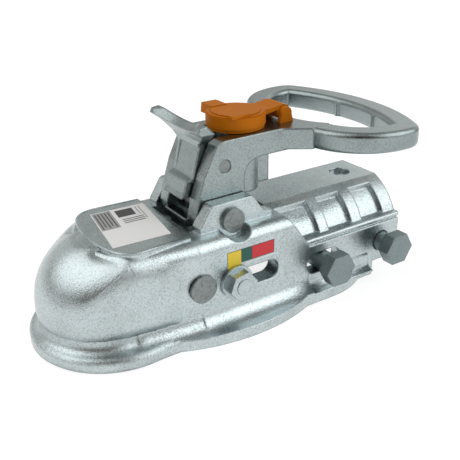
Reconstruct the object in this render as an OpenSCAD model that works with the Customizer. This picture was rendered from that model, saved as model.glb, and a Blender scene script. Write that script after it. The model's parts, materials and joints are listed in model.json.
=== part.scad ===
// Trailer coupling head for a 50 mm ball: cast body, ball jaw, lifting handle, safety catch and lock.
// X runs from the nose to the drawbar end, Y across, Z up. The origin is the centre of the ball.
// Moving surfaces keep about 0.3 mm between them; pins keep 0.05 mm in their holes.

/* [Ball and cup] */
// radius of the ball seat
ball_r = 25.2; // [24:0.1:27]
// outer radius of the cup wall and of the dome
cup_r = 34.6; // [33:0.1:37]
// height of the dome's centre
dome_z = 12; // [11:0.5:14]
// depth of the flat underside below the ball's centre
under_z = 12; // [11:0.5:14]
// radius of the cup flange
flange_r = 44.6; // [43:0.1:47]
// thickness of the cup flange
flange_t = 8; // [7:0.2:9]

/* [Body] */
// height of the flat label pad
pad_z = 46; // [45:0.5:48]
// rear edge of the label pad
pad_end = 39.6; // [39:0.2:41]
// half width of the label pad
pad_y = 31.6; // [30:0.2:32]
// height of the body's top behind the pad
mid_z = 43.5; // [42.5:0.5:44.5]
// angle at which the sides widen behind the cup
flare = 5.4; // [4.5:0.1:6]
// radius of the rounded upper edges
roll = 8; // [6:0.5:9]
// thickness of the side walls
wall_t = 10; // [9:0.5:11]
// thickness of the roof
roof_t = 7.5; // [6:0.5:8]
// thickness of the long flange
long_t = 6.4; // [5.5:0.1:7]
// half width of the flange at its widest
bulge_y = 52.5; // [50:0.5:55]
// rear end of the wide body, at its top
slope_x = 97; // [95:0.5:99]

/* [Drawbar end] */
// rear face of the body
rear_x = 183.5; // [182:0.5:190]
// radius of the drawbar socket
socket_r = 30; // [29:0.5:30.5]
// height of the socket's axis and of the cross bolts
socket_z = 10; // [9:0.5:11]
// outer radius of the saddle over the socket
saddle_r = 37.5; // [37:0.1:38]
// depth of the saddle's pockets
pocket_d = 2.5; // [1.5:0.1:3]
// place of the front cross bolt
front_x = 123.5; // [122.5:0.5:125]
// place of the rear cross bolt
back_x = 169.9; // [169:0.1:171]
// radius of the cross bolts
bolt_r = 6; // [5.5:0.1:6]
// radius of the bolt holes
hole_r = 6.5; // [6.3:0.1:6.7]

/* [Handle] */
// place of the handle's pivot
pivot_x = 66.3; // [66:0.1:67]
// height of the handle's pivot
pivot_z = 47.5; // [47:0.1:48]
// radius of the pivot and jaw pins
pin_r = 5; // [4.5:0.1:5.2]
// inner face of the handle's cheeks
cheek_in = 11.2; // [11:0.1:11.6]
// thickness of the handle's cheeks
cheek_t = 8.3; // [7.6:0.1:8.5]
// height of the handle's top
grip_z = 88.5; // [88:0.5:90]
// height of the grip bar
grip_h = 12; // [10:0.2:13]
// width of the grip bar
grip_w = 15; // [12:0.5:16]
// half width of the grip loop
loop_y = 61.5; // [59:0.5:63]
// rear end of the grip loop
loop_x = 188; // [184:0.5:192]
// travel of the handle in degrees
lift = 40; // [36:1:40]

/* [Mechanism] */
// place of the jaw's pin
jaw_x = 40.6; // [40:0.1:41]
// height of the jaw's pin
jaw_z = 18.4; // [18:0.1:19]
// rest place of the indicator shaft
shaft_x = 61.2; // [60.8:0.1:61.6]
// height of the indicator shaft
shaft_z = 16.5; // [16:0.1:17]
// radius of the indicator shaft
shaft_r = 4.5; // [4:0.1:4.6]
// travel of the indicator shaft
travel = 23; // [20:0.5:23]
// place of the safety catch's pin
catch_x = 68.3; // [68:0.1:69]
// height of the safety catch's pin
catch_z = 74.4; // [74:0.1:75]
// radius of the lock's cap
cap_r = 16.7; // [16.2:0.1:17.2]

/* [Hidden] */
$fn = 96;
play = 0.3;
slip = 0.05;
steel = [0.66, 0.69, 0.73];
dark_steel = [0.45, 0.49, 0.53];
plate = [0.75, 0.76, 0.78];
orange = [0.85, 0.40, 0.06];
wide_x = 41;
side_y = cup_r / cos(flare) + wide_x * tan(flare);
ear_in = cheek_in + cheek_t + 0.7;
ear_out = ear_in + 7.8;
cheek_out = cheek_in + cheek_t;
saddle_top = 44.4;
flat_y = sqrt(pow(saddle_r, 2) - pow(saddle_top - socket_z, 2));
saddle_y = saddle_r + 0.5;
long_z = long_t - under_z;
open_x = 43.4;
open_end = 90;
cavity_y = side_y - wall_t;
cavity_z = mid_z - roof_t;
jaw_y = cavity_y - 10.1;
hollow_end = 96;
socket_x = 112;
lock_x = 88;
barrel_r = 12.5;
barrel_z = 53;
jaw_turn = 18;
fan_y = 25.5;
end_r = 113;
ring_x = lock_x + 27.5;
ring_z = grip_z + 5.2;
ring_r = 4.3;
strap_y = 7.5;
arm_r = 41;

// Turns an outline drawn in X and Z into a plate across the body, from y0 to y1.
module across(y0, y1) {
    translate([0, y1, 0])
        rotate([90, 0, 0])
            linear_extrude(height = y1 - y0)
                children();
}

// Sweeps an outline drawn in Y and Z along X, from x0 to x1.
module along(x0, x1) {
    translate([x0, 0, 0])
        rotate([90, 0, 90])
            linear_extrude(height = x1 - x0)
                children();
}

// A round bar across the body.
module bar(x, z, r, y0, y1) {
    translate([x, y1, z])
        rotate([90, 0, 0])
            cylinder(r = r, h = y1 - y0);
}

// A hexagonal bar across the body, flat to flat af.
module hex_bar(x, z, af, y0, y1, turn) {
    translate([x, y1, z])
        rotate([90, 0, 0])
            rotate([0, 0, turn])
                cylinder(r = af / sqrt(3), h = y1 - y0, $fn = 6);
}

// A slot outline of half height r between two points on one level.
module slot(x0, x1, z, r) {
    translate([x0, z]) circle(r);
    translate([x1, z]) circle(r);
    translate([x0, z - r]) square([x1 - x0, 2 * r]);
}

// A straight bar outline between two points, round at both ends.
module link(x0, z0, x1, z1, r) {
    translate([x0, z0]) circle(r);
    translate([x1, z1]) circle(r);
    translate([x0, z0])
        rotate(atan2(z1 - z0, x1 - x0))
            translate([0, 0.03 - r])
                square([sqrt(pow(x1 - x0, 2) + pow(z1 - z0, 2)), 2 * r - 0.06]);
}

// One side of the body in Y and Z: rolled upper edge, wall, and hollow fillet on the flange.
module side_outline(half, top, fillet) {
    translate([-90, -under_z]) square([90 + half - roll, top + under_z]);
    translate([-90, -under_z]) square([90 + half, top - roll + under_z]);
    translate([half - roll, top - roll]) circle(roll);
    translate([0, long_z])
        difference() {
            translate([half - 1, -1]) square([fillet + 1, fillet + 1]);
            translate([half + fillet, fillet]) circle(fillet);
            translate([half + fillet, -2]) square([fillet, fillet]);
        }
}

// Plan of the flange, seen from above.
module flange_plan() {
    translate([4.8, 0]) circle(flange_r - 1);
    translate([5, 1.4 - flange_r]) square([30, 2 * (flange_r - 1.4)]);
    intersection() {
        translate([67.4, bulge_y - 109]) circle(109, $fn = 200);
        translate([67.4, 109 - bulge_y]) circle(109, $fn = 200);
        translate([18, -bulge_y]) square([92, 2 * bulge_y]);
    }
    translate([100, -45.2]) square([27, 90.4]);
    intersection() {
        translate([127, -4.8]) circle(50);
        translate([127, 4.8]) circle(50);
        translate([120, -50]) square([44.5, 100]);
    }
}

// Dome and cup wall, turned about the ball's upright axis.
module cup_outer() {
    rotate_extrude()
        intersection() {
            union() {
                translate([0, -under_z]) square([cup_r, under_z + dome_z]);
                translate([0, dome_z]) circle(cup_r);
            }
            translate([0, -under_z]) square([cup_r + 1, pad_z + under_z]);
        }
    translate([0, 0, flange_t - under_z])
        rotate_extrude()
            difference() {
                translate([cup_r - 1, -1]) square([5, 5]);
                translate([cup_r + 4, 4]) circle(4);
            }
    translate([4.8, 0, -under_z])
        rotate_extrude() {
            square([flange_r - 2, flange_t]);
            translate([0, 1]) square([flange_r, flange_t - 3]);
            square([flange_r - 1, flange_t - 2]);
            translate([flange_r - 2, flange_t - 2]) circle(2);
        }
}

// Shoulder between the dome and the wide middle, trimmed to a larger sphere at its front.
module shoulder() {
    intersection() {
        union() {
            rotate_extrude() {
                square([cup_r - roll, mid_z]);
                square([cup_r, mid_z - roll]);
                translate([cup_r - roll, mid_z - roll]) circle(roll);
            }
            intersection() {
                rotate([0, 0, flare])
                    along(0, 90) side_outline(cup_r, mid_z, 9);
                mirror([0, 1, 0])
                    rotate([0, 0, flare])
                        along(0, 90) side_outline(cup_r, mid_z, 9);
                translate([-60, -60, -under_z]) cube([wide_x + 60, 120, 90]);
            }
        }
        translate([33.3, 0, -14.4]) sphere(71.5);
        translate([0, 0, -under_z]) linear_extrude(height = 90) flange_plan();
    }
}

// Raised pad for the label: bowed front edge, rounded corners, slightly drawn in at the rear.
module pad() {
    front_r = 70;
    corner_r = 13.5;
    turn = asin((pad_y - corner_r) / (front_r - corner_r));
    corner_x = front_r - 5 - (front_r - corner_r) * cos(turn);
    edge_y = front_r * sin(turn);
    translate([0, 0, mid_z - 9])
        linear_extrude(height = pad_z - mid_z + 9) {
            intersection() {
                translate([front_r - 5, 0]) circle(front_r, $fn = 200);
                translate([-10, 0.05 - edge_y]) square([10 + pad_end, 2 * edge_y - 0.1]);
            }
            for (s = [-1, 1])
                translate([corner_x, s * (pad_y - corner_r)]) circle(corner_r);
            polygon([[corner_x, -pad_y + 0.02], [pad_end, 1.5 - pad_y], [pad_end, pad_y - 1.5],
                [corner_x, pad_y - 0.02]]);
        }
}

// Wide middle of the body, cut off by a slope at its rear.
module middle_outer() {
    intersection() {
        along(wide_x - 1, 112) side_outline(side_y, mid_z, 10);
        mirror([0, 1, 0])
            along(wide_x - 1, 112) side_outline(side_y, mid_z, 10);
        translate([0, 0, -under_z]) linear_extrude(height = 90) flange_plan();
        across(-60, 60)
            polygon([[30, -under_z], [112, -under_z], [112, 23], [slope_x, mid_z + 1], [30, mid_z + 1]]);
    }
}

// Saddle over the drawbar socket, with side walls, ledges and pockets.
module saddle_outer() {
    difference() {
        union() {
            along(96, rear_x)
                intersection() {
                    translate([0, socket_z]) circle(saddle_r, $fn = 128);
                    translate([-50, -1]) square([100, saddle_top + 1]);
                }
            along(96, rear_x) {
                translate([-saddle_y, 9.4 - under_z]) square([2 * saddle_y, 35 - 9.4 - 1]);
                translate([1.5 - saddle_y, 20]) square([2 * saddle_y - 3, 6]);
                for (s = [-1, 1])
                    translate([s * (saddle_y - 1.5), 24.5]) circle(1.5);
            }
            translate([96, -saddle_y, -under_z]) cube([68, 2 * saddle_y, 20]);
        }
        for (x = [[100, 123.5], [130.5, 148.5], [156.5, 174]])
            intersection() {
                along(x[0], x[1])
                    difference() {
                        translate([0, socket_z]) circle(saddle_r + 3);
                        translate([0, socket_z]) circle(saddle_r - pocket_d);
                    }
                for (s = [-1, 1])
                    translate([90, s > 0 ? 20 : -40, 26]) cube([90, 20, 20]);
            }
    }
    translate([96, 0, -under_z])
        intersection() {
            translate([-96, 0, 0]) linear_extrude(height = long_t) flange_plan();
            translate([-70, -60, -1]) cube([140, 120, 20]);
        }
    along(105, 160)
        for (s = [0, 1])
            mirror([s, 0])
                translate([0, long_z])
                    difference() {
                        translate([saddle_y - 1, -1]) square([6, 6]);
                        translate([saddle_y + 5, 5]) circle(5);
                    }
    for (s = [-1, 1])
        translate([146.5, s > 0 ? saddle_y - 1 : -saddle_y - 0.8, -4]) cube([12.5, 1.8, 8]);
}

// Two ears that carry the handle's pivot, each with a spot face for the rivet head.
module ears() {
    for (s = [0, 1])
        mirror([0, s, 0])
            across(ear_in, ear_out)
                polygon([[46.3, 30], [46.3, 46.3], [53, 56.8], [54.5, 57.8], [79, 58], [80.5, 57.2],
                    [87.5, 47.3], [93, 46.2], [93, 30]]);
}

// Hollow for the mechanism and the opening above it.
module hollow() {
    difference() {
        translate([8, -cavity_y, -under_z - 1]) cube([hollow_end - 8, 2 * cavity_y, cavity_z + under_z + 1]);
        cylinder(r = ball_r + 5.5, h = 90, center = true);
    }
    along(hollow_end - 1, socket_x + 1) {
        translate([0, socket_z]) circle(socket_r - 3);
        translate([3 - socket_r, -under_z - 1]) square([2 * socket_r - 6, under_z + socket_z + 1]);
    }
    translate([8, -jaw_y - 0.5, -under_z - 1]) cube([30, 2 * jaw_y + 1, under_z + 27]);
    translate([open_x, -ear_in, 20]) cube([open_end - open_x, 2 * ear_in, 60]);
}

module coupling_body() {
    color(steel)
        difference() {
            union() {
                cup_outer();
                shoulder();
                pad();
                middle_outer();
                saddle_outer();
                translate([0, 0, -under_z]) linear_extrude(height = long_t) flange_plan();
                ears();
            }
            sphere(ball_r);
            translate([0, 0, -under_z - 1]) cylinder(r = ball_r, h = under_z + 1);
            translate([0, 0, -under_z - 0.01]) cylinder(r1 = ball_r + 2, r2 = ball_r, h = 3);
            hollow();
            along(socket_x, rear_x + 1) translate([0, socket_z]) circle(socket_r);
            for (s = [-1, 1]) {
                bar(pivot_x, pivot_z, 9.4, s > 0 ? ear_out : -60, s > 0 ? 60 : -ear_out);
                across(s > 0 ? 20 : -60, s > 0 ? 60 : -20)
                    slot(shaft_x, shaft_x + travel, shaft_z, shaft_r + 1.4);
            }
            bar(pivot_x, pivot_z, pin_r, -60, 60);
            bar(jaw_x, jaw_z, pin_r, -60, 60);
            across(-60, 60) slot(front_x - hole_r, front_x + hole_r, socket_z, hole_r);
            bar(back_x, socket_z, hole_r, -60, 60);
            translate([back_x - 2.8, 0, socket_z + 20]) cylinder(r = hole_r, h = 30);
        }
}

// Jaw that holds the ball from behind; its tail has the cam slot for the indicator shaft.
module ball_jaw() {
    color(dark_steel)
        difference() {
            union() {
                across(-jaw_y, jaw_y) {
                    link(jaw_x, jaw_z, 29.5, -3, 8);
                    translate([jaw_x, jaw_z]) circle(9.5);
                }
                across(-8, 8) {
                    link(jaw_x, jaw_z, shaft_x, shaft_z - 2, 8.5);
                    link(shaft_x, shaft_z - 2, jaw_x + 31.6, jaw_z - 8.5, 8.5);
                    link(jaw_x + 31.6, jaw_z - 8.5, jaw_x + 41.2, jaw_z - 15.4, 8.5);
                }
            }
            sphere(ball_r + play);
            translate([0, 0, -40]) cylinder(r = ball_r + play - 3, h = 40);
            bar(jaw_x, jaw_z, pin_r + slip, -30, 30);
            across(-30, 30) {
                link(shaft_x, shaft_z, jaw_x + 31.6, jaw_z - 6.9, shaft_r + 0.5);
                link(jaw_x + 31.6, jaw_z - 6.9, jaw_x + 41.2, jaw_z - 15.4, shaft_r + 0.5);
            }
        }
}

// Fixed pin through both walls; the jaw turns on it.
module jaw_pin() {
    color(dark_steel) {
        bar(jaw_x, jaw_z, pin_r, -side_y - 1, side_y + 1);
        for (s = [-1, 1])
            bar(jaw_x, jaw_z, 7.8, s > 0 ? side_y : -side_y - 1.6, s > 0 ? side_y + 1.6 : -side_y);
    }
}

// A coil of count turns lying round an axis across the body, with one leg pointing to the rear.
module coil(x, z, y0, count, mean_r, wire_r, leg) {
    for (i = [0:count - 1])
        translate([x, y0 + i * wire_r * 1.8, z])
            rotate([90, 0, 0])
                rotate_extrude($fn = 48) translate([mean_r, 0]) circle(wire_r, $fn = 24);
    translate([x, y0, z + (leg > 0 ? 0.15 - mean_r : mean_r - 0.15)])
        rotate([0, 90, 0]) cylinder(r = wire_r * 0.85, h = abs(leg), $fn = 24);
}

// Coils round the jaw's pin on both sides of the jaw, with a leg on each.
module jaw_spring() {
    color(plate)
        for (s = [0, 1])
            mirror([0, s, 0])
                coil(jaw_x, jaw_z, jaw_y + 2.1, 3, pin_r + 2, 1, -12);
}

// Riveted pivot of the handle, fixed in the ears.
module pivot_pin() {
    color(dark_steel) {
        bar(pivot_x, pivot_z, pin_r, -ear_out - 1, ear_out + 1);
        for (s = [-1, 1])
            bar(pivot_x, pivot_z, 6.8, s > 0 ? ear_out : -ear_out - 2.4, s > 0 ? ear_out + 2.4 : -ear_out);
    }
}

// Outline of one handle cheek with its lower lobe.
module cheek_outline() {
    polygon([[48.5, 43.5], [48.5, 48.5], [50.9, 57.5], [55.5, 71.4], [61.6, 83.8], [63.2, 86.4],
        [66.5, 88.1], [70, grip_z], [114, grip_z], [114, grip_z - 12.8], [90, grip_z - 12.8],
        [85.6, grip_z - 14.2], [82, grip_z - 17], [80.4, grip_z - 22], [80.4, 50], [74, 43.5]]);
    translate([pivot_x, pivot_z]) circle(12);
    link(pivot_x, pivot_z, shaft_x + 2, shaft_z + 6, 9.5);
    link(shaft_x + 2, shaft_z + 6, shaft_x, shaft_z - 2, 9.5);
}

module handle() {
    color(steel)
        difference() {
            union() {
                for (s = [0, 1])
                    mirror([0, s, 0])
                        across(cheek_in, cheek_out) cheek_outline();
                across(-cheek_in - 0.1, cheek_in + 0.1)
                    polygon([[76, grip_z - 5], [76, grip_z], [114, grip_z], [114, grip_z - 9],
                        [80, grip_z - 9]]);
                across(-cheek_in - 0.1, cheek_in + 0.1)
                    polygon([[47, 41.5], [47, 46.4], [52.5, 46.4], [54, 41.5]]);
                translate([lock_x, 0, barrel_z]) cylinder(r = barrel_r, h = grip_z - barrel_z);
                across(-2, 2)
                    polygon([[lock_x, barrel_z + 1], [lock_x + 7, barrel_z + 1],
                        [lock_x + 8, barrel_z - 0.5], [lock_x + 21.5, barrel_z - 0.5],
                        [lock_x + 21.5, grip_z - 5], [lock_x, grip_z - 5]]);
                grip_loop();
            }
            bar(pivot_x, pivot_z, pin_r + slip, -40, 40);
            bar(catch_x, catch_z, 3.6, -40, 40);
            across(-40, 40)
                link(pivot_x - 5.2, shaft_z + 1.6, pivot_x - 5.2, shaft_z - 6, shaft_r + 1.2);
            translate([lock_x, 0, barrel_z + 6]) cylinder(r = 9, h = 60);
            translate([lock_x, 0, barrel_z - 1]) cylinder(r = 4.2, h = 20);
        }
}

// Section of the grip between two distances from an axis, rounded at its edges.
module grip_section(r0, r1) {
    edge = 3;
    translate([r0, edge]) square([r1 - r0, grip_h - 2 * edge]);
    translate([r0 + edge, 0]) square([r1 - r0 - 2 * edge, grip_h]);
    for (x = [r0 + edge, r1 - edge], z = [edge, grip_h - edge])
        translate([x, z]) circle(edge, $fn = 48);
}

// Part of a turned grip section between two angles.
module grip_bend(x, y, r0, r1, a0, a1) {
    far = 1.5 * r1;
    translate([x, y, grip_z - grip_h])
        intersection() {
            rotate_extrude($fn = 200)
                intersection() {
                    grip_section(r0, r1);
                    square([r1 + 1, grip_h]);
                }
            translate([0, 0, -1])
                linear_extrude(height = grip_h + 2)
                    polygon([[0, 0], [far * cos(a0), far * sin(a0)],
                        [far * cos((a0 + a1) / 2), far * sin((a0 + a1) / 2)],
                        [far * cos(a1), far * sin(a1)]]);
        }
}

// The grip loop: two spread arms, rounded corners and a bowed end bar with two small ribs.
module grip_loop() {
    corner_r = 12.5;
    corner_y = loop_y - corner_r;
    turn = asin(corner_y / (end_r - corner_r));
    corner_x = loop_x - end_r + (end_r - corner_r) * cos(turn);
    arm_x = corner_x - 3;
    foot = 168;
    grip_bend(loop_x - end_r, 0, end_r - grip_w, end_r, -turn, turn);
    for (s = [0, 1])
        mirror([0, s, 0]) {
            grip_bend(corner_x, corner_y, -4, corner_r, turn, 90);
            grip_bend(arm_x, loop_y - arm_r, arm_r - grip_w, arm_r, 90, foot);
            translate([arm_x, 0, grip_z - grip_h])
                rotate([90, 0, 90])
                    linear_extrude(height = corner_x - arm_x) grip_section(loop_y - grip_w, loop_y);
        }
    translate([0, 0, grip_z - grip_h])
        linear_extrude(height = grip_h)
            difference() {
                polygon([[106, -cheek_out], [106, cheek_out],
                    [arm_x - arm_r * 0.978, loop_y - arm_r * 0.792], [arm_x - 26, loop_y - arm_r + 5.6],
                    [arm_x - 26, arm_r - loop_y - 5.6], [arm_x - arm_r * 0.978, arm_r * 0.792 - loop_y]]);
                translate([arm_x + 1, 0]) circle(38, $fn = 200);
            }
    for (y = [-22.5, 11])
        translate([loop_x - end_r + sqrt(pow(end_r - grip_w + 1, 2) - y * y), y, grip_z - grip_h + 1])
            cylinder(r = 2.2, h = grip_h - 3.5);
}

// Sprung catch between the cheeks: nose block, panelled stem and a fan with a scooped thumb rest.
module safety_catch() {
    stem_y = cheek_in - 0.7;
    color(steel)
        difference() {
            union() {
                across(-stem_y, stem_y)
                    polygon([[50, 66.6], [53.3, 68.1], [57, 84.5], [56.6, 90], [61, 90], [64, 84], [67, 81],
                        [74, 76], [74, 71.5], [62, 69], [58, 64]]);
                across(-9.6, 9.6)
                    polygon([[46, 57.5], [47.6, 60.2], [49.6, 66.7], [53, 68], [60, 68], [57, 60.5],
                        [54.5, 57.5]]);
                intersection() {
                    across(-fan_y, fan_y)
                        polygon([[57, 83], [56.2, 88.5], [53, 93.5], [48.4, 97.2], [49.6, 99.6], [54, 100.2],
                            [58.4, 95.6], [60.8, 90.5], [61.2, 83]]);
                    along(45, 70)
                        polygon([[-stem_y, 80], [stem_y, 80], [stem_y + 0.4, 86], [fan_y, 95.6],
                            [fan_y, 102], [-fan_y, 102], [-fan_y, 95.6], [-stem_y - 0.4, 86]]);
                }
                bar(catch_x, catch_z, 7, -stem_y, stem_y);
            }
            translate([52.8, 0, 94])
                rotate([0, -37, 0])
                    translate([-40, 0, 42])
                        rotate([0, 90, 0]) cylinder(r = 42, h = 80);
            across(-stem_y - 1, stem_y - 2.6)
                polygon([[50, 68.15], [53.7, 69.6], [57.6, 84.6], [50, 84.6]]);
            bar(catch_x, catch_z, 3.55 + slip, -40, 40);
            bar(catch_x, catch_z, 9.4, -5, 5);
        }
}

module catch_pin() {
    color(plate) bar(catch_x, catch_z, 3.55, 0.4 - cheek_out, cheek_out - 0.4);
}

module catch_spring() {
    color(plate) coil(catch_x, catch_z, -2.7, 4, 5.6, 0.9, -7.2);
}

module handle_spring() {
    color(plate) coil(pivot_x, pivot_z, -7.9, 9, pin_r + 2, 1.1, 14);
}

// Shaft across the body that shows the position of the jaw in the slot.
module indicator_shaft() {
    color(dark_steel) bar(shaft_x, shaft_z, shaft_r, -side_y - 9, side_y + 9);
}

module indicator_washer_near() {
    color(plate) washer(-side_y - 2.3, -side_y - play);
}

module indicator_washer_far() {
    color(plate) washer(side_y + play, side_y + 2.3);
}

module washer(y0, y1) {
    difference() {
        bar(shaft_x, shaft_z, 9.6, y0, y1);
        bar(shaft_x, shaft_z, shaft_r + 0.02, y0 - 1, y1 + 1);
    }
}

module indicator_nut_near() {
    color(plate) shaft_nut(-side_y - 8.6, -side_y - 2.3);
}

module indicator_nut_far() {
    color(plate) shaft_nut(side_y + 2.3, side_y + 8.6);
}

module shaft_nut(y0, y1) {
    difference() {
        hex_bar(shaft_x, shaft_z, 15, y0, y1, 10);
        bar(shaft_x, shaft_z, shaft_r + 0.02, y0 - 1, y1 + 1);
    }
}

module lock_cylinder() {
    color(dark_steel)
        translate([lock_x, 0, barrel_z + 6])
            difference() {
                cylinder(r = 9, h = grip_z - barrel_z - 5.6);
                translate([0, 0, 6]) cylinder(r = 5.5 + slip, h = 60);
                translate([0, 0, -1]) cylinder(r = 3 + slip, h = 60);
            }
}

module lock_plug() {
    color(plate)
        difference() {
            union() {
                translate([lock_x, 0, barrel_z + 12 + play])
                    cylinder(r = 5.5, h = grip_z - barrel_z - 12 - play);
                translate([lock_x, 0, barrel_z - 0.4]) cylinder(r = 3, h = 14);
            }
            translate([lock_x - 3, -0.6, grip_z - 8]) cube([6, 1.2, 10]);
        }
}

module lock_tongue() {
    color(dark_steel)
        difference() {
            union() {
                translate([lock_x, 0, barrel_z - 3.4]) cylinder(r = 6, h = 3);
                translate([lock_x - 12, -3.5, barrel_z - 3.4]) cube([12, 7, 3]);
            }
            translate([lock_x, 0, barrel_z - 5]) cylinder(r = 3, h = 10);
        }
}

// Cap over the lock: domed disc, upturned pull tab, and a strap that ends in a ring round the anchor's pin.
module cap() {
    color(orange)
        difference() {
            union() {
                translate([lock_x, 0, grip_z + play]) cylinder(r = cap_r - 0.7, h = 8.6);
                translate([lock_x, 0, grip_z + 2.2]) cylinder(r = cap_r, h = 6.2);
                translate([lock_x, 0, grip_z + 8]) cylinder(r = cap_r - 3, h = 1.5);
                across(cap_r - 6, cap_r + 5.5)
                    polygon([[lock_x - 9, grip_z + 4.5], [lock_x - 8.4, grip_z + 10],
                        [lock_x + 1.4, grip_z + 10], [lock_x + 2, grip_z + 4.5]]);
                across(-strap_y, strap_y)
                    polygon([[lock_x + 10, grip_z + 4.4], [lock_x + 10, grip_z + 8.8],
                        [lock_x + 18, grip_z + 8.4], [ring_x, ring_z + ring_r - 0.02],
                        [ring_x, ring_z + ring_r - 2.2], [lock_x + 18, grip_z + 6]]);
                bar(ring_x, ring_z, ring_r, -strap_y, strap_y);
                translate([lock_x - 12, -cap_r + 2, grip_z + 8.6]) cube([12, 4, 1.6]);
            }
            translate([lock_x, 0, grip_z - 1]) cylinder(r = cap_r - 2.5, h = 7);
            bar(ring_x, ring_z, 2, -strap_y - 1, strap_y + 1);
        }
}

// Anchor of the strap: two lugs on top of the handle and the pin between them.
module cap_anchor() {
    color(orange) {
        bar(ring_x, ring_z, 1.7, -strap_y - 2, strap_y + 2);
        for (s = [-1, 1])
            across(s > 0 ? strap_y + play : -strap_y - 3.2, s > 0 ? strap_y + 3.2 : -strap_y - play) {
                translate([ring_x, ring_z]) circle(3.4);
                polygon([[ring_x - 4.5, grip_z], [ring_x - 3.2, ring_z], [ring_x + 3.2, ring_z],
                    [ring_x + 4.5, grip_z]]);
            }
    }
}

// Hexagon bolt across the drawbar socket, its head on the near side.
module cross_bolt(x) {
    color(dark_steel) {
        bar(x, socket_z, bolt_r, -saddle_y - 8.5, 56);
        hex_bar(x, socket_z, 18, -saddle_y - 16, -saddle_y - 8.4, 0);
    }
}

module cross_nut(x) {
    color(dark_steel)
        difference() {
            hex_bar(x, socket_z, 18, saddle_y, saddle_y + 10, 0);
            bar(x, socket_z, bolt_r + 0.02, 0, 90);
        }
}

module cross_bolt_front() {
    cross_bolt(front_x);
}

module cross_bolt_rear() {
    cross_bolt(back_x);
}

module cross_nut_front() {
    cross_nut(front_x);
}

module cross_nut_rear() {
    cross_nut(back_x);
}

coupling_body();
ball_jaw();
jaw_pin();
jaw_spring();
pivot_pin();
handle();
handle_spring();
safety_catch();
catch_pin();
catch_spring();
indicator_shaft();
indicator_washer_near();
indicator_washer_far();
indicator_nut_near();
indicator_nut_far();
lock_cylinder();
lock_plug();
lock_tongue();
cap();
cap_anchor();
cross_bolt_front();
cross_bolt_rear();
cross_nut_front();
cross_nut_rear();
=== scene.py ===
# Looks of a trailer coupling head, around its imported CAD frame.
import json
import math

import bpy
import numpy as np
from mathutils import Matrix, Vector
from mathutils.bvhtree import BVHTree


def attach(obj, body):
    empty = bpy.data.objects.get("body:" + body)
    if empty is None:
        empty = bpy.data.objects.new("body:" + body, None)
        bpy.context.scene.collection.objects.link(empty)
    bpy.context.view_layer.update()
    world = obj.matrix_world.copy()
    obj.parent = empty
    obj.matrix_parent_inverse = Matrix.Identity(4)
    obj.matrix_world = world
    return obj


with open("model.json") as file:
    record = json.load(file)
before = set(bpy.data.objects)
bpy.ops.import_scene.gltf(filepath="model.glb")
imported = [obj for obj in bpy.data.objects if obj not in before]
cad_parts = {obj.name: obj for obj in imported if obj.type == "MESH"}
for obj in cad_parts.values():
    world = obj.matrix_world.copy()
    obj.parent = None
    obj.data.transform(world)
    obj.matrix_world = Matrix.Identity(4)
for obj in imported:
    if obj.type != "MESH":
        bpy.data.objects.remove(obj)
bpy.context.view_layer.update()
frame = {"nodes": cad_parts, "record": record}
nodes = frame["nodes"]

# Places and sizes are in mm unless a comment says otherwise, and MM turns them into metres.
MM = 0.001

# Sizes of the body that the pieces here follow, as in the part's source.
DOME_R, DOME_Z = 34.6, 12
PAD_HALF, PAD_FRONT_R, PAD_CORNER_R, PAD_FRONT_X = 31.6, 70, 13.5, -5
BOLT_XS, BOLT_Z, BOLT_R = (123.5, 169.9), 10, 6

# Camera, fitted to the photograph: focal length and width of the picture in pixels.
FOCAL_PX, PICTURE_PX, SENSOR_WIDTH = 700, 460, 36.0
CAMERA_RIGHT = (0.8328, -0.5534, -0.0132)
CAMERA_UP = (0.2461, 0.3487, 0.9043)
CAMERA_BACK = (-0.4958, -0.7564, 0.4266)
CAMERA_PLACE = (-121.39, -312.23, 201.91)
CLIP_METRES = (0.02, 20)


def set_camera():
    data = bpy.data.cameras.new("camera")
    data.sensor_fit = "HORIZONTAL"
    data.sensor_width = SENSOR_WIDTH
    data.lens = FOCAL_PX * SENSOR_WIDTH / PICTURE_PX
    data.clip_start, data.clip_end = CLIP_METRES
    cam = bpy.data.objects.new("camera", data)
    bpy.context.scene.collection.objects.link(cam)
    pose = Matrix.Identity(4)
    for column, axis in enumerate((CAMERA_RIGHT, CAMERA_UP, CAMERA_BACK)):
        for row in range(3):
            pose[row][column] = axis[row]
    for row in range(3):
        pose[row][3] = CAMERA_PLACE[row] * MM
    cam.matrix_world = pose
    bpy.context.scene.camera = cam


# Node helpers.
def new_material(name, colour, metallic, roughness, specular=0.5):
    mat = bpy.data.materials.new(name)
    mat.use_nodes = True
    shader = mat.node_tree.nodes["Principled BSDF"]
    shader.inputs["Base Color"].default_value = (*colour, 1)
    shader.inputs["Metallic"].default_value = metallic
    shader.inputs["Roughness"].default_value = roughness
    shader.inputs["Specular IOR Level"].default_value = specular
    return mat, mat.node_tree, shader


def grey(value):
    return (value, value, value)


def noise(tree, scale, detail, rough):
    """Noise over the object, with its scale per metre."""
    coords = tree.nodes.new("ShaderNodeTexCoord")
    node = tree.nodes.new("ShaderNodeTexNoise")
    node.inputs["Scale"].default_value = scale
    node.inputs["Detail"].default_value = detail
    node.inputs["Roughness"].default_value = rough
    tree.links.new(coords.outputs["Object"], node.inputs["Vector"])
    return node.outputs["Fac"]


def ramp(tree, source, stops):
    node = tree.nodes.new("ShaderNodeValToRGB")
    while len(node.color_ramp.elements) < len(stops):
        node.color_ramp.elements.new(0.5)
    for element, (place, colour) in zip(node.color_ramp.elements, stops):
        element.position = place
        element.color = (*colour, 1)
    tree.links.new(source, node.inputs["Fac"])
    return node.outputs["Color"]


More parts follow.
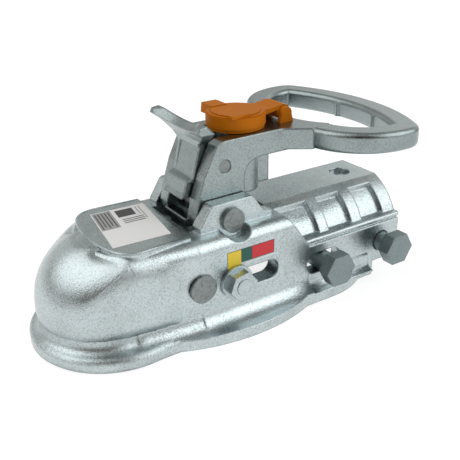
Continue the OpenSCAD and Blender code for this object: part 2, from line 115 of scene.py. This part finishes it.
def fade(tree, source, low, high, start, end):
    """Maps source from low..high in mm to start..end."""
    node = tree.nodes.new("ShaderNodeMapRange")
    for key, value in (("From Min", low * MM), ("From Max", high * MM), ("To Min", start), ("To Max", end)):
        node.inputs[key].default_value = value
    tree.links.new(source, node.inputs["Value"])
    return node.outputs["Result"]


def product(tree, a, b):
    node = tree.nodes.new("ShaderNodeMath")
    node.operation = "MULTIPLY"
    tree.links.new(a, node.inputs[0])
    tree.links.new(b, node.inputs[1])
    return node.outputs["Value"]


# The wider rounding of the body's front fades out over these stretches of X and Z.
FRONT_FADE_X = (14, 24)
FRONT_FADE_Z = (40.5, 42.5)
BEVEL_SAMPLES = 6


def soft_normal(tree, shader, radius, height, depth, dome):
    """Rounds the edges by radius, or by dome on the body's front, and adds a height up to depth."""
    bevel = tree.nodes.new("ShaderNodeBevel")
    bevel.samples = BEVEL_SAMPLES
    bevel.inputs["Radius"].default_value = radius * MM
    if dome:
        coords = tree.nodes.new("ShaderNodeTexCoord")
        split = tree.nodes.new("ShaderNodeSeparateXYZ")
        tree.links.new(coords.outputs["Object"], split.inputs["Vector"])
        front = fade(tree, split.outputs["X"], *FRONT_FADE_X, (dome - radius) * MM, 0.0)
        below = fade(tree, split.outputs["Z"], *FRONT_FADE_Z, 1.0, 0.0)
        total = tree.nodes.new("ShaderNodeMath")
        total.operation = "ADD"
        total.inputs[1].default_value = radius * MM
        tree.links.new(product(tree, front, below), total.inputs[0])
        tree.links.new(total.outputs["Value"], bevel.inputs["Radius"])
    bump = tree.nodes.new("ShaderNodeBump")
    bump.inputs["Strength"].default_value = 1.0
    bump.inputs["Distance"].default_value = depth * MM
    tree.links.new(height, bump.inputs["Height"])
    tree.links.new(bevel.outputs["Normal"], bump.inputs["Normal"])
    tree.links.new(bump.outputs["Normal"], shader.inputs["Normal"])


# Zinc: wide blotches of a darker and a lighter tint, and fine grain with dark and light specks.
BLOTCH_SCALE, BLOTCH_DETAIL, BLOTCH_ROUGH = 45, 5, 0.6
GRAIN_DETAIL, GRAIN_ROUGH = 4, 0.62
TINT_STOPS = (0.3, 0.5, 0.72)
TINT_DARK, TINT_LIGHT = 0.84, 1.12
SPECK_STOPS = ((0.32, 0.7), (0.48, 1.0), (0.7, 1.14))
WEAR_STOPS = ((0.35, -0.04), (0.65, 0.06))


def zinc(name, colour, rough, grain, depth, edge, dome=0.0):
    """Zinc-plated metal: scale of the grain per metre, its depth, and the radius of the edges."""
    mat, tree, shader = new_material(name, colour, 1.0, rough)
    blotch = noise(tree, BLOTCH_SCALE, BLOTCH_DETAIL, BLOTCH_ROUGH)
    dark = tuple(c * TINT_DARK for c in colour)
    light = tuple(min(1, c * TINT_LIGHT) for c in colour)
    tint = ramp(tree, blotch, list(zip(TINT_STOPS, (dark, colour, light))))
    fine = noise(tree, grain, GRAIN_DETAIL, GRAIN_ROUGH)
    speck = ramp(tree, fine, [(place, grey(value)) for place, value in SPECK_STOPS])
    mix = tree.nodes.new("ShaderNodeMix")
    mix.data_type = "RGBA"
    mix.blend_type = "MULTIPLY"
    mix.inputs["Factor"].default_value = 1.0
    tree.links.new(tint, mix.inputs["A"])
    tree.links.new(speck, mix.inputs["B"])
    tree.links.new(mix.outputs["Result"], shader.inputs["Base Color"])
    soft_normal(tree, shader, edge, fine, depth, dome)
    wear = ramp(tree, blotch, [(place, grey(rough + change)) for place, change in WEAR_STOPS])
    tree.links.new(wear, shader.inputs["Roughness"])
    return mat


def plain(*values):
    return new_material(*values)[0]


MATS = {
    "cast_body": zinc("cast_body", (0.49, 0.55, 0.56), 0.25, 1100, 0.15, 1.5, dome=5.5),
    "cast_handle": zinc("cast_handle", (0.30, 0.345, 0.345), 0.22, 1300, 0.14, 1.6),
    "forged_steel": zinc("forged_steel", (0.16, 0.17, 0.175), 0.5, 900, 0.3, 1.2),
    "rivet_steel": zinc("rivet_steel", (0.26, 0.285, 0.28), 0.40, 420, 0.9, 0.8),
    "spring_steel": plain("spring_steel", (0.4, 0.4, 0.4), 1.0, 0.35),
    "plated_fastener": zinc("plated_fastener", (0.46, 0.52, 0.53), 0.28, 1200, 0.12, 0.5),
    "bolt_steel": zinc("bolt_steel", (0.23, 0.28, 0.285), 0.42, 1200, 0.2, 0.7),
    "lock_metal": plain("lock_metal", (0.6, 0.55, 0.4), 1.0, 0.3),
    "orange_plastic": plain("orange_plastic", (0.50, 0.145, 0.002), 0.0, 0.5, 0.1),
}
PRINT = {
    "label_white": plain("label_white", (0.82, 0.81, 0.80), 0.0, 0.5),
    "print_grey": plain("print_grey", (0.36, 0.36, 0.36), 0.0, 0.5),
    "print_dark": plain("print_dark", (0.06, 0.06, 0.065), 0.0, 0.5),
    "field_yellow": plain("field_yellow", (0.78, 0.58, 0.03), 0.0, 0.4),
    "field_green": plain("field_green", (0.003, 0.095, 0.065), 0.0, 0.4),
    "field_red": plain("field_red", (0.60, 0.015, 0.025), 0.0, 0.4),
    "strip_light": plain("strip_light", (0.62, 0.68, 0.68), 0.6, 0.4),
}


def dress_frame():
    slots = {s["node"]: s["material_slot"] for s in frame["record"]["subparts"]}
    for name, obj in nodes.items():
        obj.data.materials.clear()
        obj.data.materials.append(MATS[slots[name]])


def add_piece(name, verts, faces, mat, body, smooth=False):
    """A new piece from corners in metres, which rides on a body; smooth rounds its four-sided faces."""
    mesh = bpy.data.meshes.new(name)
    mesh.from_pydata(verts, [], faces)
    if smooth:
        mesh.polygons.foreach_set("use_smooth", [len(f.vertices) == 4 for f in mesh.polygons])
    mesh.update()
    obj = bpy.data.objects.new(name, mesh)
    bpy.context.scene.collection.objects.link(obj)
    obj.data.materials.append(mat)
    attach(obj, body)
    return obj


# Skin over the front of the body: a grid of rays round a centre, in degrees, evened out
# from the dome into the shoulders, lifted in the middle and sunk at its edges.
SKIN_CENTRE = (4, 0, 8)
SKIN_SWEEP, SKIN_LOW, SKIN_ROWS, SKIN_COLS = 264, -16, 151, 265
ROW_STEP, COL_STEP = 0.62, 1.0
RAY_START_METRES = 0.15
SKIN_END_X = 29
SKIN_WALL_Z = (1.5, 42.6)
SKIN_DOME_Z, SKIN_DOME_GAP = (42, 45.6), 0.3
SKIN_LIFT, SKIN_SINK, SKIN_LEAST = 0.55, 0.15, 0.1
RAMP_CELLS = 14
FULL_LIFT = 0.99
TAUT_STEPS, EVEN_STEPS, LAST_STEPS = 160, 220, 12


def relax(r, hold, steps, floor=None):
    """Evens out the grid r, but leaves the cells of hold, and stays above floor where it is given."""
    for _ in range(steps):
        q = np.pad(r, 1, mode="edge")
        even = (q[:-2, 1:-1] + q[2:, 1:-1] + q[1:-1, :-2] + q[1:-1, 2:]) / 4
        r = np.where(hold, r, even)
        if floor is not None:
            r = np.maximum(r, floor)
    return r


def body_tree():
    body = nodes["coupling_body"]
    verts = [body.matrix_world @ v.co for v in body.data.vertices]
    return BVHTree.FromPolygons(verts, [tuple(f.vertices) for f in body.data.polygons])


def is_free(spot):
    """Whether the skin may cover this spot of the body."""
    x, z = spot.x / MM, spot.z / MM
    gap = abs(Vector((spot.x, spot.y, spot.z - DOME_Z * MM)).length / MM - DOME_R)
    on_wall = SKIN_WALL_Z[0] < z < SKIN_WALL_Z[1]
    on_dome = SKIN_DOME_Z[0] < z < SKIN_DOME_Z[1] and gap < SKIN_DOME_GAP
    return x < SKIN_END_X and (on_wall or on_dome)


def ray_grid(centre):
    """Direction of each ray, its distance to the body, and whether the skin is free there."""
    tree = body_tree()
    r = np.zeros((SKIN_ROWS, SKIN_COLS))
    free = np.zeros((SKIN_ROWS, SKIN_COLS), bool)
    ways = []
    for i in range(SKIN_ROWS):
        h = math.radians(SKIN_LOW + i * ROW_STEP)
        line = []
        for j in range(SKIN_COLS):
            a = math.radians(180 - SKIN_SWEEP / 2 + j * COL_STEP)
            way = Vector((math.cos(h) * math.cos(a), math.cos(h) * math.sin(a), math.sin(h)))
            line.append(way)
            spot = tree.ray_cast(centre + way * RAY_START_METRES, -way)[0]
            r[i, j] = (spot - centre).length
            free[i, j] = is_free(spot)
        ways.append(line)
    return ways, r, free


def edge_ramp(free):
    """0 at the edges of the free cells, rising smoothly to 1 at RAMP_CELLS from them."""
    inner = free.astype(float)
    depth = np.zeros(free.shape)
    for _ in range(RAMP_CELLS):
        q = np.pad(inner, 1)
        inner = inner * (q[:-2, 1:-1] * q[2:, 1:-1] * q[1:-1, :-2] * q[1:-1, 2:])
        depth += inner / RAMP_CELLS
    return depth * depth * (3 - 2 * depth)


def front_skin():
    centre = Vector(SKIN_CENTRE) * MM
    ways, r, free = ray_grid(centre)
    lift = edge_ramp(free)
    smooth = relax(relax(r, ~free, TAUT_STEPS, r), ~free, EVEN_STEPS)
    smooth = np.maximum(smooth + SKIN_LIFT * MM * lift, r + SKIN_LEAST * MM * lift)
    smooth = relax(smooth, ~free | (lift < FULL_LIFT), LAST_STEPS)
    out = smooth - SKIN_SINK * MM * (1 - lift)
    rows, cols = free.shape
    points = [centre + ways[i][j] * out[i, j] for i in range(rows) for j in range(cols)]
    faces = [(i * cols + j, i * cols + j + 1, (i + 1) * cols + j + 1, (i + 1) * cols + j)
             for i in range(rows - 1) for j in range(cols - 1) if free[i:i + 2, j:j + 2].all()]
    used = sorted({v for f in faces for v in f})
    place = {v: k for k, v in enumerate(used)}
    faces = [tuple(place[v] for v in f) for f in faces]
    skin = add_piece("front_skin", [points[v] for v in used], faces, MATS["cast_body"], "frame", smooth=True)


# Label on the pad: its corners, and the heights of the label, its fields and their lines.
LABEL_CORNERS = ((7.5, 25.0), (0.3, -20.3), (32.6, -21.7), (39.2, 23.0))
LABEL_Z, FIELD_Z, LINE_Z = 46.06, 46.09, 46.12
# Fields as name, start and end along the label, start and end across it, height and material.
LABEL_FIELDS = [
    ("label", 0, 1, 0, 1, LABEL_Z, "label_white"),
    ("label_field", 0.015, 0.53, 0.02, 0.35, FIELD_Z, "print_grey"),
]
LABEL_FIELDS += [
    ("label_line_%d" % i, 0.05, 0.50 - 0.05 * (i % 2), 0.05 + 0.06 * i, 0.05 + 0.06 * i + 0.022,
     LINE_Z, "print_dark") for i in range(5)
]
LABEL_FIELDS += [("label_square", 0.06, 0.27, 0.42, 0.74, FIELD_Z, "print_dark")]
LABEL_FIELDS += [
    ("label_row_%d" % i, 0.34 + 0.05 * i, 0.36 + 0.05 * i, 0.45, 0.84, FIELD_Z, "print_dark")
    for i in range(3)
]
LABEL_FIELDS += [
    ("label_edge_%d" % i, 0.05, 0.30 + 0.14 * i, 0.80 + 0.06 * i, 0.80 + 0.06 * i + 0.02,
     FIELD_Z, "print_grey") for i in range(2)
]

# Sticker on the near wall: its place across, how far the fields stand off its back,
# and its fields as name, start and end in X, start and end in Z, height off the back and material.
STICKER_Y, FIELD_LIFT = -38.72, 0.03
STICKER_FIELDS = [
    ("sticker_back", 56.2, 86.7, 26.6, 34.5, 0.0, "print_dark"),
    ("sticker_yellow", 56.4, 64.8, 24.6, 34.3, FIELD_LIFT, "field_yellow"),
    ("sticker_green", 65.3, 71.5, 26.9, 34.3, FIELD_LIFT, "field_green"),
    ("sticker_red", 72.0, 86.4, 26.9, 34.3, FIELD_LIFT, "field_red"),
    ("sticker_strip", 67.0, 90.0, 25.2, 26.3, FIELD_LIFT, "strip_light"),
]


def patch(name, corners, mat):
    """A flat sheet on the frame with plain colour, in place of print."""
    corners = [Vector(c) * MM for c in corners]
    add_piece(name, corners, [tuple(range(len(corners)))], PRINT[mat], "frame")


def label_spot(u, v, z):
    """The spot at the shares u and v of the label's length and width."""
    a, b, c, d = LABEL_CORNERS
    x = (1 - u) * ((1 - v) * a[0] + v * d[0]) + u * ((1 - v) * b[0] + v * c[0])
    y = (1 - u) * ((1 - v) * a[1] + v * d[1]) + u * ((1 - v) * b[1] + v * c[1])
    return (x, y, z)


def label():
    for name, u0, u1, v0, v1, z, mat in LABEL_FIELDS:
        patch(name, [label_spot(u, v, z) for u, v in ((u0, v0), (u1, v0), (u1, v1), (u0, v1))], mat)


def sticker():
    for name, x0, x1, z0, z1, lift, mat in STICKER_FIELDS:
        patch(name, [(x, STICKER_Y - lift, z) for x, z in ((x0, z0), (x1, z0), (x1, z1), (x0, z1))], mat)


# Raised rim along the edge of the label pad: a round bar from one rear end over the front to the other.
RIM_END = (39.2, -30.0)
RIM_Z, RIM_R, RIM_SIDES, RIM_STEPS = 45.55, 0.75, 12, 12


def tube(name, path, radius, sides, body, slot):
    """A round bar along a path, closed at its ends."""
    points = [Vector(p) for p in path]
    verts, faces = [], []
    for i, p in enumerate(points):
        way = (points[min(i + 1, len(points) - 1)] - points[max(i - 1, 0)]).normalized()
        side = way.cross(Vector((0, 0, 1))).normalized()
        up = side.cross(way)
        for j in range(sides):
            a = math.tau * j / sides
            verts.append((p + (side * math.cos(a) + up * math.sin(a)) * radius) * MM)
        if i:
            start = (i - 1) * sides
            for j in range(sides):
                n = (j + 1) % sides
                faces.append((start + j, start + n, start + sides + n, start + sides + j))
    faces.append(tuple(reversed(range(sides))))
    faces.append(tuple(range(len(verts) - sides, len(verts))))
    add_piece(name, verts, faces, MATS[slot], body, smooth=True)


def pad_rim():
    turn = math.asin((PAD_HALF - PAD_CORNER_R) / (PAD_FRONT_R - PAD_CORNER_R))
    arc_x = PAD_FRONT_R + PAD_FRONT_X
    corner_x = arc_x - (PAD_FRONT_R - PAD_CORNER_R) * math.cos(turn)
    path = [RIM_END]
    for k in range(RIM_STEPS + 1):
        a = -math.pi / 2 - (math.pi / 2 - turn) * k / RIM_STEPS
        path.append((corner_x + PAD_CORNER_R * math.cos(a),
                     PAD_CORNER_R - PAD_HALF + PAD_CORNER_R * math.sin(a)))
    for k in range(1, RIM_STEPS):
        a = math.pi + turn * (1 - k / RIM_STEPS)
        path.append((arc_x + PAD_FRONT_R * math.cos(a), PAD_FRONT_R * math.sin(a)))
    mirrored = [(x, -y) for x, y in reversed(path)]
    path += [(PAD_FRONT_X, 0.0)] + mirrored
    tube("pad_rim", [(x, y, RIM_Z) for x, y in path], RIM_R, RIM_SIDES, "frame", "cast_body")


# Threads on the free ends of the cross bolts: rings half a pitch apart, by turns in a root and on a crest.
THREAD_Y = (48.2, 55.8)
THREAD_PITCH, THREAD_STEPS = 1.75, 48
THREAD_ROOT, THREAD_CREST = 0.02, 0.18


def thread(name, x):
    step = THREAD_PITCH / 2
    rings = int((THREAD_Y[1] - THREAD_Y[0]) / step) + 1
    verts, faces = [], []
    for ring in range(rings):
        y = THREAD_Y[0] + ring * step
        r = BOLT_R + (THREAD_CREST if ring % 2 else THREAD_ROOT)
        for i in range(THREAD_STEPS):
            a = math.tau * i / THREAD_STEPS
            verts.append(((x + r * math.cos(a)) * MM, y * MM, (BOLT_Z + r * math.sin(a)) * MM))
        if ring:
            base = (ring - 1) * THREAD_STEPS
            for i in range(THREAD_STEPS):
                j = (i + 1) % THREAD_STEPS
                faces.append((base + i, base + j, base + THREAD_STEPS + j, base + THREAD_STEPS + i))
    add_piece(name, verts, faces, MATS["bolt_steel"], "frame")


# Room: a floor that is white by its own glow, and a world of pale walls with a dark part and soft lights.
FLOOR_HALF_METRES, FLOOR_Z = 3.0, -12.1
FLOOR_COLOUR, FLOOR_ROUGH, FLOOR_GLOW = (0.3, 0.3, 0.3), 0.9, 0.82
WALL_COLOUR = (0.38, 0.37, 0.355)
# Azimuth and height in degrees, radius of the even part and of the rim in degrees, and colour.
DARK_PART = (232, 20, 18, 46, (0.05, 0.028, 0.014))
LIGHTS = [
    (164, 48, 16, 40, (1.35, 1.38, 1.39)),
    (309, 36, 14, 36, (1.80, 1.85, 1.87)),
    (25, 14, 8, 34, (0.45, 0.47, 0.47)),
    (57, 26, 8, 34, (0.14, 0.16, 0.16)),
    (105, 12, 8, 34, (0.35, 0.35, 0.35)),
]


def spot_factor(tree, azimuth, height, inner, outer):
    """1 within the inner radius in degrees round a direction, 0 outside the outer one."""
    a, h = math.radians(azimuth), math.radians(height)
    coords = tree.nodes.new("ShaderNodeTexCoord")
    turn = tree.nodes.new("ShaderNodeVectorMath")
    turn.operation = "DOT_PRODUCT"
    turn.inputs[1].default_value = (math.cos(h) * math.cos(a), math.cos(h) * math.sin(a), math.sin(h))
    tree.links.new(coords.outputs["Generated"], turn.inputs[0])
    edge = tree.nodes.new("ShaderNodeMapRange")
    edge.interpolation_type = "SMOOTHSTEP"
    edge.inputs["From Min"].default_value = math.cos(math.radians(outer))
    edge.inputs["From Max"].default_value = math.cos(math.radians(inner))
    tree.links.new(turn.outputs["Value"], edge.inputs["Value"])
    return edge.outputs["Result"]


def glow(tree, last, azimuth, height, inner, outer, colour):
    """Adds one soft round light to the surroundings."""
    light = tree.nodes.new("ShaderNodeBackground")
    light.inputs["Color"].default_value = (*colour, 1)
    tree.links.new(spot_factor(tree, azimuth, height, inner, outer), light.inputs["Strength"])
    add = tree.nodes.new("ShaderNodeAddShader")
    tree.links.new(last, add.inputs[0])
    tree.links.new(light.outputs["Background"], add.inputs[1])
    return add.outputs["Shader"]


def add_floor():
    half, z = FLOOR_HALF_METRES, FLOOR_Z * MM
    mesh = bpy.data.meshes.new("floor")
    corners = [(-half, -half, z), (half, -half, z), (half, half, z), (-half, half, z)]
    mesh.from_pydata(corners, [], [(0, 1, 2, 3)])
    floor = bpy.data.objects.new("floor", mesh)
    bpy.context.scene.collection.objects.link(floor)
    mat, _, shader = new_material("floor", FLOOR_COLOUR, 0.0, FLOOR_ROUGH, 0.0)
    shader.inputs["Emission Color"].default_value = (1, 1, 1, 1)
    shader.inputs["Emission Strength"].default_value = FLOOR_GLOW
    floor.data.materials.append(mat)


def set_world():
    world = bpy.data.worlds.new("world")
    bpy.context.scene.world = world
    world.use_nodes = True
    tree = world.node_tree
    base = tree.nodes["Background"]
    *dark_place, dark_colour = DARK_PART
    walls = ramp(tree, spot_factor(tree, *dark_place), [(0.0, WALL_COLOUR), (1.0, dark_colour)])
    tree.links.new(walls, base.inputs["Color"])
    base.inputs["Strength"].default_value = 1.0
    last = base.outputs["Background"]
    for light in LIGHTS:
        last = glow(tree, last, *light)
    tree.links.new(last, tree.nodes["World Output"].inputs["Surface"])


set_camera()
dress_frame()
add_floor()
set_world()
front_skin()
pad_rim()
label()
sticker()
for bolt_x in BOLT_XS:
    thread("thread_%d" % bolt_x, bolt_x)

bpy.context.scene.view_settings.view_transform = "Standard"
